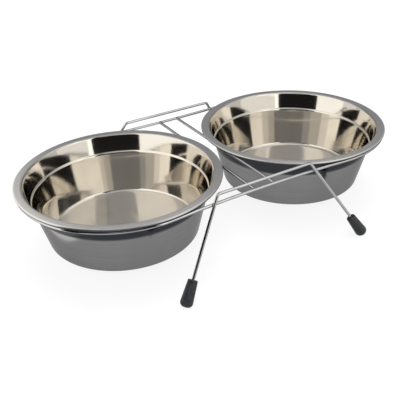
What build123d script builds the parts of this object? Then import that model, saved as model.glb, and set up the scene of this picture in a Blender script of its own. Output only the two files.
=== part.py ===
from build123d import *
import os
from math import asin, atan2, cos, degrees, hypot, sin, sqrt

# Double pet bowl: two pressed steel bowls hang by their rolled rims in a stand of bent wire,
# which stands on four rubber feet. Sizes are in millimetres. The origin is on the floor, midway
# between the bowls. +X runs towards the right bowl, +Y to the rear and +Z up.

# Bowls, measured on the outside of the sheet
rim_radius = 105.0  # widest part of the rolled rim
rim_gap = 9.4  # between the two rims
bead_radius = 1.5  # outside of the roll along the rim
bead_turn = 290.0  # degrees that the edge is rolled through
sheet = 0.6  # thickness of the sheet
bowl_depth = 65.7  # top of the rim to the underside of the bowl
bowl_lift = 19.8  # underside of the bowl above the floor
flange_width = 8.0  # from the top of the neck out to the widest part of the rim
shoulder_bend = 2.0  # bend from the neck out into the flat of the rim
neck_taper = 5.7  # how much the neck narrows on its way down
step_depth = 21.9  # top of the rim down to the step in the wall
step_rise = 1.6  # height of the slope across the step
step_width = 1.9  # how far the step goes in
step_bend = 3.0  # both bends of the step
wall_taper = 10.9  # how much the wall narrows from the step down to the floor
base_bend = 4.4  # bend between floor and wall

# Wire stand
wire = 3.0  # wire diameter
rim_clearance = 0.3  # between a rolled rim and the wires that carry it
weld_set = 0.3  # how far one wire sinks into the other where they are welded
rail_inset = 1.0  # axis of the loop inside the axis of the roll that it carries
waist = 4.3  # how far the sides of the loop bow in between the bowls
crossbar_gap = 0.9  # between a crossbar and the neck of the bowl beside it, level with the wire
bar_rise = 9.5  # axis of the raised bar above the axis of the loop
top_bar_length = 109.5  # between the bends, measured at the sharp corners
leg_bend = 4.0  # bend radius at the axis of the wire
stance_length = 222.0  # between the left and right legs, where their axes reach the floor
leg_reach = 28.4  # from the loop out to where the axis of a leg reaches the floor

# Rubber feet
foot_length = 26.0
foot_top_radius = 4.75
foot_base_radius = 6.5
foot_round = 4.5  # rounding of the lower end
foot_edge = 0.5  # rounding of the upper edge
foot_flat = 0.6  # depth of the lower end that is flattened against the floor
foot_bore_depth = 18.0  # depth that the wire is pushed in
foot_bore_clearance = 0.05

# The bowls stand side by side, and each is turned from its rim in to its floor
bowl_axis_x = rim_radius + rim_gap / 2
rim_height = bowl_lift + bowl_depth
rim_underside = rim_height - sheet
step_height = rim_height - step_depth
roll_axis = (rim_radius - bead_radius, rim_height - bead_radius)
neck_top_radius = rim_radius - flange_width
neck_foot_radius = neck_top_radius - neck_taper
wall_top_radius = neck_foot_radius - step_width
base_radius = wall_top_radius - wall_taper

# The loop lies just below the rolled rims. Its ends are round, and each side bows in on a large arc
# that runs smoothly into both ends.
wire_radius = wire / 2
rail_height = rim_height - 2 * bead_radius - rim_clearance - wire_radius
end_radius = roll_axis[0] - rail_inset
waist_half_width = end_radius - waist
side_radius = (bowl_axis_x**2 + waist_half_width**2 - end_radius**2) / (2 * waist)
side_axis_y = waist_half_width + side_radius
side_turn = degrees(atan2(bowl_axis_x, side_axis_y))


def loop_y(x):
    return side_axis_y - sqrt(side_radius**2 - x**2)


# The crossbars lie beside the necks of the bowls and butt against the sides of the loop
neck_slope = neck_taper / (rim_underside - step_height - step_rise)
neck_beside_wire = neck_top_radius - neck_slope * (rim_underside - rail_height)
crossbar_x = bowl_axis_x - neck_beside_wire - crossbar_gap - wire_radius
crossbar_end = loop_y(crossbar_x) - wire_radius + weld_set

# Each pair of legs lies in one leaning plane, in which its wire touches the outside of the loop
welded_pitch = wire - weld_set
top_bar_height = rail_height + bar_rise
leg_spread = (stance_length - top_bar_length) / 2
weld_x = top_bar_length / 2 + leg_spread * bar_rise / top_bar_height
foot_y = loop_y(weld_x) + leg_reach
lean = atan2(leg_reach, rail_height) - asin(welded_pitch / hypot(leg_reach, rail_height))
top_bar_slope_height = top_bar_height / cos(lean)
splay = atan2(leg_spread, top_bar_slope_height)

# A foot's lower end reaches the floor slantwise, and is cut flat there
leg_upright = cos(lean) * cos(splay)
leg_slant = sqrt(1 - leg_upright**2)
foot_nose = foot_round * (1 - leg_upright) + (foot_base_radius - foot_round) * leg_slant
foot_tip = (foot_nose - foot_flat) / leg_upright
leg_end = foot_tip + foot_length - foot_bore_depth

os.makedirs("parts", exist_ok=True)


def save(builder, name):
    builder.part.label = name
    export_step(builder.part, f"parts/{name}.step")


# Bowls: one bent line of sheet, from the middle of the floor up to the roll of the rim
for side, x in (("left", -bowl_axis_x), ("right", bowl_axis_x)):
    with BuildPart() as bowl:
        with BuildSketch(Plane(origin=(x, 0, 0), x_dir=(1, 0, 0), z_dir=(0, -1, 0))):
            with BuildLine():
                FilletPolyline(
                    (0, bowl_lift),
                    (base_radius, bowl_lift),
                    (wall_top_radius, step_height),
                    (neck_foot_radius, step_height + step_rise),
                    (neck_top_radius, rim_underside),
                    (rim_radius - bead_radius, rim_underside),
                    radius=[base_bend, step_bend, step_bend, shoulder_bend],
                )
                offset(amount=sheet, side=Side.LEFT)
            make_face()
            with BuildLine():
                inside = CenterArc(roll_axis, bead_radius - sheet, 90, -bead_turn)
                outside = CenterArc(roll_axis, bead_radius, 90, -bead_turn)
                Line(inside @ 0, outside @ 0)
                Line(inside @ 1, outside @ 1)
            make_face()
        revolve(axis=Axis((x, 0, 0), (0, 0, 1)))
    save(bowl, f"{side}_bowl")

# Loop: one closed wire that runs round both bowls, with a slight waist between them
with BuildPart() as loop:
    with BuildLine(Plane.XY.offset(rail_height)) as loop_axis:
        CenterArc((0, -side_axis_y), side_radius, 90 + side_turn, -2 * side_turn)
        CenterArc((bowl_axis_x, 0), end_radius, -90 - side_turn, 180 + 2 * side_turn)
        CenterArc((0, side_axis_y), side_radius, -90 + side_turn, -2 * side_turn)
        CenterArc((-bowl_axis_x, 0), end_radius, 90 - side_turn, 180 + 2 * side_turn)
    with BuildSketch(Plane(origin=loop_axis.line @ 0, z_dir=loop_axis.line % 0)):
        Circle(wire_radius)
    sweep(path=loop_axis.wire())
save(loop, "loop_rail")

# Crossbars: two straight wires between the bowls, with ends that are seated on the loop
for side, x in (("left", -crossbar_x), ("right", crossbar_x)):
    with BuildPart() as crossbar:
        with BuildSketch(Plane(origin=(x, 0, rail_height), z_dir=(0, 1, 0))):
            Circle(wire_radius)
        extrude(amount=crossbar_end, both=True)
        add(loop.part, mode=Mode.SUBTRACT)
    save(crossbar, f"{side}_crossbar")

# Leg frames: a raised bar and two splayed legs bent from one wire, and a foot on each leg
for end, facing in (("front", -1), ("rear", 1)):
    leg_plane = Plane(
        origin=(0, facing * foot_y, 0),
        x_dir=(1, 0, 0),
        z_dir=(0, -cos(lean), -facing * sin(lean)),
    )
    leg_end_x = stance_length / 2 - leg_end * sin(splay)
    leg_end_slope = leg_end * cos(splay)
    with BuildPart() as leg_frame:
        with BuildLine(leg_plane) as leg_axis:
            FilletPolyline(
                (-leg_end_x, leg_end_slope),
                (-top_bar_length / 2, top_bar_slope_height),
                (top_bar_length / 2, top_bar_slope_height),
                (leg_end_x, leg_end_slope),
                radius=leg_bend,
            )
        # The seam of the wire's surface lies on its outer side, away from the weld
        outward = leg_plane.z_dir * -facing
        with BuildSketch(Plane(origin=leg_axis.line @ 0, x_dir=outward, z_dir=leg_axis.line % 0)):
            Circle(wire_radius)
        sweep()
        add(loop.part, mode=Mode.SUBTRACT)
    save(leg_frame, f"{end}_leg_frame")

    for side, hand in (("left", -1), ("right", 1)):
        tip_x = hand * (stance_length / 2 - foot_tip * sin(splay))
        foot_plane = Plane(
            origin=leg_plane.from_local_coords((tip_x, foot_tip * cos(splay), 0)),
            x_dir=leg_plane.x_dir * cos(splay) + leg_plane.y_dir * (hand * sin(splay)),
            z_dir=leg_plane.z_dir,
        )
        bore_radius = wire_radius + foot_bore_clearance
        bore_floor = foot_length - foot_bore_depth
        with BuildPart() as foot:
            with BuildSketch(foot_plane):
                with BuildLine():
                    FilletPolyline(
                        (0, 0),
                        (foot_base_radius, 0),
                        (foot_top_radius, foot_length),
                        (bore_radius, foot_length),
                        (bore_radius, bore_floor),
                        (0, bore_floor),
                        radius=[foot_round, foot_edge, 0, 0],
                    )
                    Line((0, bore_floor), (0, 0))
                make_face()
            revolve(axis=Axis(foot_plane.origin, foot_plane.y_dir))
            split(bisect_by=Plane.XY, keep=Keep.TOP)
        save(foot, f"{end}_{side}_foot")
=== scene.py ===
# %% [markdown]
# Double pet bowl
#
# Two pressed steel bowls hang by their rolled rims in a stand of bent, chromed wire. The part was
# drawn and packed elsewhere, so this lesson starts from that fixed frame: everything below is in
# metres and lies where the imported part says. The imported box is kept.

# %% Load the imported part
from math import cos, pi, radians, sin, tan

import bmesh
import bpy
from mathutils import Matrix, Vector


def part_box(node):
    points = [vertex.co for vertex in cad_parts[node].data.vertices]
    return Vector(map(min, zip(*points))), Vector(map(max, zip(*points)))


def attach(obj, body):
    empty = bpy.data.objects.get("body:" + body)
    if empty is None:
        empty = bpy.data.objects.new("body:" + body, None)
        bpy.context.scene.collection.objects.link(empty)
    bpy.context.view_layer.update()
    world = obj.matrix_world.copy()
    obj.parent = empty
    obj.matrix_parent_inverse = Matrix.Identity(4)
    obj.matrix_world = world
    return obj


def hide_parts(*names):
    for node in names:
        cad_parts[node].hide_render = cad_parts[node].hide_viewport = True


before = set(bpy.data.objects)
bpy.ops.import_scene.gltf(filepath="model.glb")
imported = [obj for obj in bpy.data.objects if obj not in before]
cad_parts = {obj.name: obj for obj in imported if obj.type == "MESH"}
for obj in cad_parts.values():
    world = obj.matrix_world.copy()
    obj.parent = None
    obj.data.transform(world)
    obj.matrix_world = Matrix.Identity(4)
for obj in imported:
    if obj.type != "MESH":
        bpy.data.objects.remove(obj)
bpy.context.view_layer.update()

MM = 0.001
print("packed nodes:", ", ".join(sorted(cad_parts)))

# %% [markdown]
# Shader maths as Python
#
# A finish is a small formula over the surface. It could be wired by hand in the shader editor, but
# there the formula is hard to read. So one class wraps a socket, and `1 - mask` adds a Math node.
# Colours go through `mix`, because a Math node would turn them grey. Every other node comes from
# `node`, which sets the node's settings first and its sockets after.


# %% A socket that takes part in sums
class Socket:
    def __init__(self, tree, link=None):
        self.tree, self.link = tree, link

    def node(self, kind, settings, sockets, out=0):
        """Add a node to the tree, and give back one of its outputs where it has any."""
        made = self.tree.nodes.new(kind)
        for name, value in settings.items():
            setattr(made, name, value)
        for key, value in sockets.items():
            if isinstance(value, Socket):
                self.tree.links.new(value.link, made.inputs[key])
            else:
                made.inputs[key].default_value = value
        return Socket(self.tree, made.outputs[out]) if made.outputs else None

    def sum(self, operation, a, b):
        return self.node("ShaderNodeMath", {"operation": operation}, {0: a, 1: b})

    def __add__(self, other):
        return self.sum("ADD", self, other)

    def __sub__(self, other):
        return self.sum("SUBTRACT", self, other)

    def __rsub__(self, other):
        return self.sum("SUBTRACT", other, self)

    def __mul__(self, other):
        return self.sum("MULTIPLY", self, other)

    def __pow__(self, other):
        return self.sum("POWER", self, other)

    __radd__, __rmul__ = __add__, __mul__

    def parts(self):
        """The x, y and z of a vector."""
        split = self.node("ShaderNodeSeparateXYZ", {}, {0: self}).link.node
        return [Socket(self.tree, part) for part in split.outputs]

    def noise(self, scale, detail):
        return self.node("ShaderNodeTexNoise", {}, {"Vector": self, "Scale": scale, "Detail": detail})

    def step(self, low, high):
        """0 below low, 1 above high, and smooth in between."""
        limits = {"Value": self, "From Min": low, "From Max": high}
        return self.node("ShaderNodeMapRange", {"interpolation_type": "SMOOTHSTEP"}, limits)

    def mix(self, one, other):
        """One colour where this mask is 0, the other where it is 1."""
        first, second = [c if isinstance(c, Socket) else (*c, 1.0) for c in (one, other)]
        return self.node("ShaderNodeMix", {"data_type": "RGBA"}, {0: self, 6: first, 7: second}, 2)

    def bump(self, height):
        """Relief of this height in metres, where the socket goes from 0 to 1."""
        return self.node("ShaderNodeBump", {}, {"Height": self, "Distance": height})


# %% A material from a recipe
def blank_material(name):
    """A material without nodes, and an empty socket to add its first nodes from."""
    material = bpy.data.materials.new(name)
    material.use_nodes = True
    material.node_tree.nodes.clear()
    return material, Socket(material.node_tree)


def place_on_object(start):
    return start.node("ShaderNodeTexCoord", {}, {}, "Object")


def finish(recipe):
    """A material named after its recipe, which turns the place on the object into shader sockets."""
    material, start = blank_material(recipe.__name__)
    shader = start.node("ShaderNodeBsdfPrincipled", {}, recipe(place_on_object(start)))
    start.node("ShaderNodeOutputMaterial", {}, {"Surface": shader})
    print("finish", material.name, "has", len(material.node_tree.nodes), "nodes")
    return material


# %% [markdown]
# Finishes of the bowls
#
# A pressed bowl is polished on a wheel while it turns, so every mark runs round its axis. The wall
# inside is nearly a mirror, the floor keeps faint rings, the rim is satin and the outside is
# brushed. A picture of brushed metal could be wrapped round the bowl, but it would show a seam. So
# the marks come from noise that is stretched round the axis: the two slow parts of its vector
# follow the place, and the fast part follows distance from the axis and height.


# %% Marks that run round the axis
def from_axis(place):
    """Distance from the upright axis through the object's origin."""
    x, y, _ = place.parts()
    return (x * x + y * y) ** 0.5


def turned_marks(place, per_metre, detail):
    """Noise that changes fast across the marks and slowly along them."""
    slow = 12.0
    x, y, z = place.parts()
    across = (from_axis(place) + z) * per_metre
    vector = place.node("ShaderNodeCombineXYZ", {}, {0: x * slow, 1: y * slow, 2: across})
    return vector.noise(1.0, detail)


# %% Polished inside
def polished_wall(place):
    smudge = place.noise(28.0, 3.0).step(0.42, 0.75)
    wobble = place.noise(14.0, 1.0) + turned_marks(place, 260.0, 2.0) * 0.05
    return {
        "Base Color": smudge.mix((0.75, 0.71, 0.645), (0.71, 0.67, 0.605)),
        "Metallic": 1.0,
        "Roughness": 0.07 + smudge * 0.03,
        "Normal": wobble.bump(0.00018),
    }


def polished_floor(place):
    rings = turned_marks(place, 420.0, 3.0)
    smudge = place.noise(24.0, 3.0).step(0.4, 0.8)
    return {
        "Base Color": smudge.mix((0.68, 0.655, 0.62), (0.62, 0.595, 0.56)),
        "Metallic": 1.0,
        "Roughness": 0.15 + rings * 0.06 + smudge * 0.04,
        "Normal": rings.bump(0.000003),
    }


# %% Satin rim and brushed outside
def satin_rim(place):
    """Satin on the flat, which falls a little outward; bright on the bend, with painted shade on the
    underside of the roll.
    """
    bend_end, flat_start = 0.0958, 0.0972
    underside, topside = 0.0838, 0.0850
    ring_relief, outward_fall = 0.00002, 0.14
    rings = turned_marks(place, 700.0, 3.0)
    out = from_axis(place)
    height = place.parts()[2]
    steel = rings.mix((0.64, 0.63, 0.615), (0.75, 0.74, 0.725))
    relief = rings * ring_relief - out * outward_fall
    return {
        # Below the underside height the base colour is a painted shade: the roll's underside is
        # darkened for the shade under the rim, not for its steel.
        "Base Color": height.step(underside, topside).mix((0.05, 0.05, 0.055), steel),
        "Metallic": 1.0,
        "Roughness": 0.06 + out.step(bend_end, flat_start) * (0.27 + rings * 0.10),
        "Normal": relief.bump(1.0),
    }


def brushed_outside(place):
    """Rings on the wall, with painted light that makes it lighter towards its top, and painted shade
    that makes the neck above the step dark.
    """
    wall_foot, wall_top = 0.02, 0.062
    neck_foot, neck_painted_shade = 0.0622, 0.0652
    rings = turned_marks(place, 520.0, 4.0)
    cloud = place.noise(20.0, 3.0).step(0.35, 0.75)
    height = place.parts()[2]
    # Rings and random clouds are the steel's own marks; the height step on top is painted light,
    # making the wall lighter towards its top.
    marks_and_painted_light = rings * 0.6 + cloud * 0.25 + height.step(wall_foot, wall_top) * 0.3
    wall = marks_and_painted_light.mix((0.26, 0.26, 0.26), (0.385, 0.385, 0.385))
    return {
        # The neck above the step gets a painted shade: a near-black base colour stands in for the
        # shade under the rim.
        "Base Color": height.step(neck_foot, neck_painted_shade).mix(wall, (0.06, 0.063, 0.072)),
        "Metallic": 1.0,
        "Roughness": 0.09 + rings * 0.08,
        "Anisotropic": 0.4,
        "Specular Tint": (0.7, 0.7, 0.7, 1.0),
        "Normal": rings.bump(0.00003),
    }


# %% One finish for each zone
zones = (polished_wall, polished_floor, satin_rim, brushed_outside)
bowl_finishes = [finish(recipe) for recipe in zones]
POLISHED, FLOOR, SATIN, BRUSHED = range(len(zones))

# %% [markdown]
# The bowls
#
# Each bowl is one sheet of steel with a bent cross-section, turned about its axis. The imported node
# has that shape, but a polished surface shows every facet, so the bowl is turned again here with
# even rings and one finish for each zone. Bends are drawn as true arcs between straight runs. The
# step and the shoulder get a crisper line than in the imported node, within a millimetre of it. Both
# sides of the sheet meet on the axis, so the floor inside dips to its middle by the sheet's thickness.


# %% A bent line of sheet, in millimetres from the axis and above the floor
def bent_line(corners, bends, arc_steps):
    """Corners with an arc at each inner corner, as (radius, height) points."""
    points = [Vector(corners[0])]
    for before, corner, after, bend in zip(corners, corners[1:], corners[2:], bends):
        corner = Vector(corner)
        back = (Vector(before) - corner).normalized()
        ahead = (Vector(after) - corner).normalized()
        half = back.angle(ahead) / 2
        centre = corner + (back + ahead).normalized() * (bend / sin(half))
        start = corner + back * (bend / tan(half)) - centre
        end = corner + ahead * (bend / tan(half)) - centre
        turn = end.angle_signed(start)
        for i in range(arc_steps + 1):
            points.append(centre + Matrix.Rotation(turn * i / arc_steps, 2) @ start)
    return points + [Vector(corners[-1])]


def set_off(points, distance):
    """The same line, moved to its left. Its first point, on the axis, stays where it is."""
    moved = [points[0]]
    for before, point, after in zip(points, points[1:], points[2:] + points[-1:]):
        ways = [way for way in (point - before, after - point) if way.length > 1e-9]
        side = sum((Vector((-way.y, way.x)).normalized() for way in ways), Vector((0, 0)))
        moved.append(point + side.normalized() * distance)
    return moved


sheet, rim_radius, rim_height, bead = 0.6, 104.99, 85.5, 1.5
base_radius, base_height = 78.5, 19.8
wall_top, neck_foot, neck_top_radius = (89.8, 65.2), (91.0, 66.3), 96.4
rim_underside = rim_height - sheet
bowl_corners = [
    (0, base_height),
    (base_radius, base_height),
    wall_top,
    neck_foot,
    (neck_top_radius, rim_underside),
    (rim_radius - bead, rim_underside),
]
base_bend, step_bend, neck_foot_bend, shoulder_bend = 4.4, 3.0, 1.8, 2.2
bends = [base_bend, step_bend, neck_foot_bend, shoulder_bend]
outer = bent_line(bowl_corners, bends, arc_steps=14)
inner = set_off(outer, sheet)
print("bowl line has", len(outer), "points, rim", max(p.x for p in inner), "mm out")


# %% The closed section of the bowl
def divided(points, longest=6.0):
    """Long straight runs get points of their own, so that the rings stay even."""
    line = [points[0]]
    for point in points[1:]:
        pieces = max(1, round((point - line[-1]).length / longest))
        start = line[-1]
        line += [start.lerp(point, (i + 1) / pieces) for i in range(pieces)]
    return line


def roll(radius, steps):
    """The rolled edge of the rim, from its top round outside to where the sheet ends."""
    centre = Vector((rim_radius - bead, rim_height - bead))
    turn = radians(290.0)
    angles = [pi / 2 - turn * i / steps for i in range(steps + 1)]
    return [centre + Vector((cos(a), sin(a))) * radius for a in angles]


def zone_inside(point):
    floor_edge, rim_start = base_radius - 4.0, 95.9
    if point.x < floor_edge:
        return FLOOR
    return SATIN if point.x > rim_start else POLISHED


# Each point goes with the zone of the face after it, from the middle of the floor round to it again
section = [(point, zone_inside(point)) for point in divided(inner)[:-1]]
section += [(point, SATIN) for point in roll(bead, steps=44)]
section += [(point, SATIN) for point in reversed(roll(bead - sheet, steps=30))]
section += [(point, BRUSHED) for point in reversed(divided(outer)[:-1])]
print("section has", len(section), "points")


# %% Turn the bowl about its axis
def turns(count):
    return [2 * pi * i / count for i in range(count)]


def mesh_from(shape, name):
    """The mesh of a finished shape, with all faces turned outward."""
    bmesh.ops.recalc_face_normals(shape, faces=shape.faces)
    mesh = bpy.data.meshes.new(name)
    shape.to_mesh(mesh)
    shape.free()
    return mesh


def add_object(mesh, materials):
    """An object in the scene, named after its mesh."""
    for material in materials:
        mesh.materials.append(material)
    added = bpy.data.objects.new(mesh.name, mesh)
    bpy.context.scene.collection.objects.link(added)
    return added


def turn_bowl(side, x, around=288):
    shape = bmesh.new()
    rings = []
    for point, _ in section:
        out, height = point * MM
        spots = [(0, 0)] if point.x < 1e-6 else [(cos(a) * out, sin(a) * out) for a in turns(around)]
        rings.append([shape.verts.new((*spot, height)) for spot in spots])
    for (_, zone), low, high in zip(section, rings, rings[1:]):
        for i in range(around):
            j = (i + 1) % around
            corners = [low[i % len(low)], low[j % len(low)], high[j % len(high)], high[i % len(high)]]
            face = shape.faces.new(list(dict.fromkeys(corners)))
            face.material_index, face.smooth = zone, True
    mesh = mesh_from(shape, f"{side}_bowl_turned")
    mesh.set_sharp_from_angle(angle=radians(50))
    bowl = add_object(mesh, bowl_finishes)
    bowl.location.x = x
    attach(bowl, f"{side}_bowl_body")
    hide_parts(f"{side}_bowl")
    print(bowl.name, "has", len(mesh.polygons), "faces")


for side in ("left", "right"):
    low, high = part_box(f"{side}_bowl")
    turn_bowl(side, (low.x + high.x) / 2)

# %% [markdown]
# Wire and feet
#
# The wire is drawn, bent, welded and then chromed, so it is bright with a little haze and fine
# pits. The feet are moulded rubber: dark and matt, dusty where they meet the floor. They could be
# modelled again as well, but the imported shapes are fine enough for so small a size, so both keep
# them and only get a better finish.


# %% Chrome and rubber
def bright_chrome(place):
    haze = place.noise(60.0, 3.0).step(0.4, 0.75)
    pits = place.noise(900.0, 2.0)
    return {
        "Base Color": haze.mix((0.62, 0.625, 0.635), (0.52, 0.525, 0.535)),
        "Metallic": 1.0,
        "Specular Tint": (0.2, 0.2, 0.21, 1.0),
        "Roughness": 0.08 + haze * 0.10,
        "Normal": pits.bump(0.00002),
    }


def moulded_rubber(place):
    grain = place.noise(1500.0, 2.0)
    bloom = place.noise(140.0, 3.0).step(0.35, 0.8)
    height = place.parts()[2]
    dusty = (1.0 - height.step(0.001, 0.006)) * 0.6
    return {
        "Base Color": (bloom * 0.5 + dusty).mix((0.024, 0.027, 0.030), (0.075, 0.080, 0.084)),
        "Roughness": 0.38 + bloom * 0.16,
        "Normal": grain.bump(0.00008),
    }


chrome = finish(bright_chrome)
rubber = finish(moulded_rubber)
for name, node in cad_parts.items():
    if "bowl" not in name:
        node.data.materials[0] = rubber if "foot" in name else chrome

# %% [markdown]
# Welds
#
# Where two wires are welded, a little metal is squeezed out and is chromed over with the rest. The
# ends of the crossbars get a small flared collar, and the legs a flat lens between the two wires.
# A bump in the finish would not show on the outline, so both are real shapes: rings of points
# round an axis, made slightly uneven, because no two welds are alike.


# %% Rings of points round an axis
def weld_chrome(place):
    ripple = place.noise(1400.0, 2.0)
    return {
        "Base Color": ripple.mix((0.60, 0.605, 0.615), (0.45, 0.455, 0.465)),
        "Metallic": 1.0,
        "Roughness": 0.16 + ripple * 0.12,
        "Normal": ripple.bump(0.00005),
    }


def skin(shape, rings):
    """Faces between neighbouring rings of points, with a cap on the first and the last."""
    rows = [[shape.verts.new(point * MM) for point in ring] for ring in rings]
    for low, high in zip(rows, rows[1:]):
        for i in range(len(low)):
            j = (i + 1) % len(low)
            shape.faces.new((low[i], low[j], high[j], high[i])).smooth = True
    shape.faces.new(list(reversed(rows[0])))
    shape.faces.new(rows[-1])


def add_welds(name, groups, material):
    shape = bmesh.new()
    for rings in groups:
        skin(shape, rings)
    mesh = mesh_from(shape, name)
    welds = add_object(mesh, [material])
    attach(welds, "stand")
    print(name, "has", len(groups), "welds and", len(mesh.polygons), "faces")


# %% The two kinds of weld, in millimetres
wire_radius, loop_height = 1.5, 80.7
ring_points = 28


def crossbar_collar(x, end, loop_y):
    """Flare from a crossbar onto the round side of the loop; end is -1 in front, 1 behind."""
    bar_skin, flare, flattening, reach, sunk = 1.45, 1.0, 0.12, 2.9, 0.05
    rings = []
    for t in (0.0, 0.15, 0.35, 0.6, 1.0):
        ring = []
        for a in turns(ring_points):
            wide = bar_skin + flare * (1 - t) ** 2.2 * (1 + 0.12 * sin(3 * a + x))
            rise = (bar_skin - flattening * (1 - t) ** 2) * sin(a)
            near = (wire_radius**2 - rise**2) ** 0.5 - sunk
            inward = near + (reach - near) * t
            ring.append(Vector((x + wide * cos(a), end * (loop_y - inward), loop_height + rise)))
        rings.append(ring)
    return rings


def leg_lens(centre, normal, phase):
    """Flat lens of metal between a leg and the loop, as rings from one face to the other."""
    side = Vector((1, 0, 0))
    up = normal.cross(side)
    half = [(0.5, 0.42), (1.1, 0.5), (1.45, 0.32)]
    rings = []
    for out, off in [(out, -off) for out, off in half] + [(1.58, 0.0)] + half[::-1]:
        ring = []
        for a in turns(ring_points):
            uneven = out * (1 + 0.08 * sin(2 * a + phase) + 0.04 * sin(5 * a - phase))
            ring.append(centre + normal * off + (side * cos(a) + up * sin(a)) * uneven)
        rings.append(ring)
    return rings


# %% Put a weld at each joint
# A leg touches the loop here, out from the middle of the part, and leans back from upright
leg_weld_x, leg_weld_y, leg_weld_height = 60.67, 100.91, 81.11
leg_lean = radians(17.58)
weld_set = 0.3
collars, lenses = [], []
for end in (-1, 1):
    outward = Vector((0, end * cos(leg_lean), sin(leg_lean)))
    for side, hand in (("left", -1), ("right", 1)):
        low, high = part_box(f"{side}_crossbar")
        loop_y = high.y / MM + wire_radius - weld_set
        collars.append(crossbar_collar((low.x + high.x) / 2 / MM, end, loop_y))
        spot = Vector((hand * leg_weld_x, end * leg_weld_y, leg_weld_height))
        lenses.append(leg_lens(spot, outward, end + 2 * hand))
weld_finish = finish(weld_chrome)
add_welds("crossbar_welds", collars, weld_finish)
add_welds("leg_welds", lenses, weld_finish)

# %% [markdown]
# Camera
#
# The camera stands where a fit to the rims, wires and feet puts it, with a 55 mm lens. It could be
# aimed at a point by a constraint, but the fit gives turns: azimuth from north, tilt down and a
# small bank. Its axes are worked out from those.

# %% Camera
azimuth, tilt, bank = radians(29.912), radians(30.627), radians(-2.192)
camera_spot = (-0.31231, -0.51376, 0.37336)
ahead = Vector((cos(tilt) * sin(azimuth), cos(tilt) * cos(azimuth), -sin(tilt)))
level = Vector((cos(azimuth), -sin(azimuth), 0))
right = level * cos(bank) + level.cross(ahead) * sin(bank)
axes = Matrix((right, right.cross(ahead), -ahead)).transposed().to_4x4()
lens = bpy.data.cameras.new("camera")
lens.lens, lens.sensor_width = 55.039, 36.0
camera = bpy.data.objects.new("camera", lens)
camera.matrix_world = Matrix.Translation(camera_spot) @ axes
bpy.context.scene.collection.objects.link(camera)
bpy.context.scene.camera = camera
print("camera at", [round(v, 3) for v in camera.matrix_world.translation])

# %% [markdown]
# Studio
#
# Polished steel shows the studio more than itself, so the studio is built as a box round the part:
# white boards left and right, a grey one behind, the dark open side round the camera, a roof in
# white and grey fields, and a grey table. Lamps alone would leave the steel flat. Only reflections
# show the box, so that the picture keeps its white background.


# %% Boards that only the metal sees
def glow(name, colour, strength):
    material, start = blank_material(name)
    light = start.node("ShaderNodeEmission", {}, {"Color": (*colour, 1.0), "Strength": strength})
    start.node("ShaderNodeOutputMaterial", {}, {"Surface": light})
    return material


def stage_board(name, points, faces, colour, strength):
    mesh = bpy.data.meshes.new(name)
    mesh.from_pydata(points, [], faces)
    card = add_object(mesh, [glow(name, colour, strength)])
    card.visible_camera = card.visible_diffuse = card.visible_shadow = False


def board(name, plan, low, high, colour, strength):
    """An upright board over a line of floor points, between two heights."""
    count = len(plan)
    points = [(x, y, z) for z in (low, high) for x, y in plan]
    faces = [(i, i + 1, count + i + 1, count + i) for i in range(count - 1)]
    stage_board(name, points, faces, colour, strength)


def level_board(name, height, across, along, colour, strength):
    """A level board at a height, between two x and two y."""
    points = [(x, y, height) for y in along for x in across]
    stage_board(name, points, [(0, 1, 3, 2)], colour, strength)


# %% Upright boards, from the right edge of the open side round to its left edge
WHITE, PLAIN, GREY = (1.0, 0.98, 0.94), (1.0, 1.0, 1.0), (0.95, 0.96, 1.0)
LOW, TALL = 0.2, 0.85
DARK = 0.012
open_right, edge_end = (-0.026, -0.445), (0.02, -0.44)
inner_end, right_end = (0.25, -0.40), (0.48, -0.36)
right_corner, back_start, back_end = (0.62, -0.08), (0.61, 0.12), (-0.10, 0.70)
left_start, left_middle = (-0.25, 0.50), (-0.236, 0.22)
open_left, open_middle = (-0.222, -0.062), (-0.45, -0.208)
fascia_plan = [(-0.026, -0.44), (0.02, -0.435), (0.20, -0.404)]
back_plan = [back_start, (0.60, 0.45), (0.30, 0.70), back_end]
open_plan = [open_middle, (-0.75, -0.40), (-0.75, -1.0), (-0.19, -1.0), open_right]
board("right_edge", [open_right, edge_end], 0.0, TALL, WHITE, 1.5)
board("right_low", [edge_end, right_end], 0.0, LOW, WHITE, 0.95)
board("right_inner", [edge_end, inner_end], LOW, TALL, WHITE, 1.4)
board("right_board", [inner_end, right_end], LOW, TALL, WHITE, 1.05)
board("right_fascia", fascia_plan, 0.6, TALL, GREY, 0.44)
board("right_turn", [right_end, right_corner], 0.0, TALL, WHITE, 0.65)
board("back_turn", [right_corner, back_start], 0.0, TALL, GREY, 0.45)
board("back", back_plan, 0.0, TALL, GREY, 0.27)
board("left_turn", [back_end, left_start], 0.0, TALL, WHITE, 0.62)
board("left_bend", [left_start, left_middle], 0.0, TALL, WHITE, 0.85)
board("left_board", [left_middle, open_left], 0.0, TALL, WHITE, 1.25)
board("open_edge", [open_left, open_middle], 0.0, 0.4, GREY, DARK)
board("open_side", open_plan, 0.0, TALL, GREY, DARK)
print("the walls of the studio are", TALL, "m high")

# %% Roof and table
table_height = 0.0005
level_board("left_roof", TALL, (-0.9, -0.22), (-0.15, 0.8), WHITE, 1.2)
level_board("middle_roof", TALL, (-0.22, 0.16), (-0.15, 0.8), GREY, 0.5)
level_board("right_roof", TALL, (0.16, 0.75), (-0.5, 0.4), WHITE, 1.05)
level_board("back_roof", TALL, (0.16, 0.75), (0.4, 0.8), GREY, 0.42)
level_board("front_roof", TALL, (-0.9, 0.0), (-1.0, -0.15), GREY, 0.53)
level_board("front_turn", TALL, (0.0, 0.16), (-1.0, -0.15), WHITE, 0.72)
level_board("table", table_height, (-0.75, 0.62), (-1.0, 0.7), PLAIN, 0.56)
print("the table lies", table_height, "m above the floor")

# %% [markdown]
# Floor, background and lamps
#
# The part stands on white paper that runs into a white background, with a soft shadow. White paper
# under strong lamps would take the shadow away, so the paper is grey and glows for the camera and
# for mirrors only. Rays that gather light meet the grey, and the shadow keeps its depth.


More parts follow.
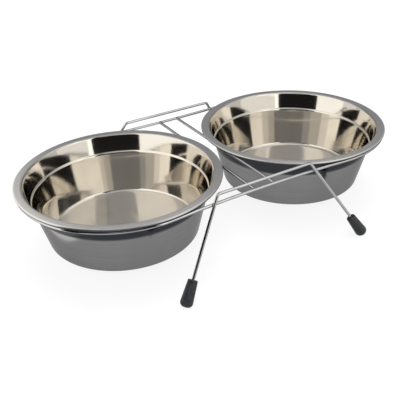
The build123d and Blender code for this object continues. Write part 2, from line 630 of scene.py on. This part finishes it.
# %% White floor and background
def shown_rays(start):
    """1 for rays from the camera, a mirror or glass, and 0 for rays that only gather light."""
    kinds = ("Is Camera Ray", "Is Glossy Ray", "Is Transmission Ray")
    seen, mirrored, through = [start.node("ShaderNodeLightPath", {}, {}, kind) for kind in kinds]
    return start.sum("MAXIMUM", start.sum("MAXIMUM", seen, mirrored), through)


def white_floor():
    """Grey paper that glows for the eye, a little brighter far from the part."""
    material, start = blank_material("white_floor")
    far = from_axis(place_on_object(start)).step(0.5, 1.8)
    strength = shown_rays(start) * (0.86 + far * 0.14)
    paper = start.node("ShaderNodeBsdfDiffuse", {}, {"Color": (0.2, 0.2, 0.2, 1.0)})
    lift = start.node("ShaderNodeEmission", {}, {"Color": (1.0, 1.0, 1.0, 1.0), "Strength": strength})
    both = start.node("ShaderNodeAddShader", {}, {0: paper, 1: lift})
    start.node("ShaderNodeOutputMaterial", {}, {"Surface": both})
    return material


floor_reach = 6.0
floor_mesh = bpy.data.meshes.new("floor")
floor_ends = (-floor_reach, floor_reach)
floor_mesh.from_pydata([(x, y, 0) for y in floor_ends for x in floor_ends], [], [(0, 1, 3, 2)])
floor = add_object(floor_mesh, [white_floor()])

world = bpy.data.worlds.new("white_room")
bpy.context.scene.world = world
world.use_nodes = True
world.node_tree.nodes.clear()
start = Socket(world.node_tree)
strength = 0.45 + shown_rays(start) * 0.55
room = start.node("ShaderNodeBackground", {}, {"Color": (1.0, 1.0, 1.0, 1.0), "Strength": strength})
start.node("ShaderNodeOutputWorld", {}, {"Surface": room})
print("floor reaches", floor_reach, "m each way")


# %% Lamps that mirrors don't show
def soft_lamp(name, spot, size, power):
    """A round lamp that shines on the middle of the part."""
    lamp = bpy.data.lights.new(name, "AREA")
    lamp.shape, lamp.size, lamp.energy = "DISK", size, power
    hung = bpy.data.objects.new(name, lamp)
    hung.location = spot
    hung.rotation_euler = (-Vector(spot)).to_track_quat("-Z", "Y").to_euler()
    hung.visible_glossy = False
    bpy.context.scene.collection.objects.link(hung)
    print(name, "gives", power, "W")


soft_lamp("top_lamp", (0.1, 0.1, 1.6), 1.4, 16.0)
soft_lamp("front_lamp", (-0.9, -1.3, 1.3), 1.0, 9.0)
bpy.context.scene.view_settings.view_transform = "Standard"
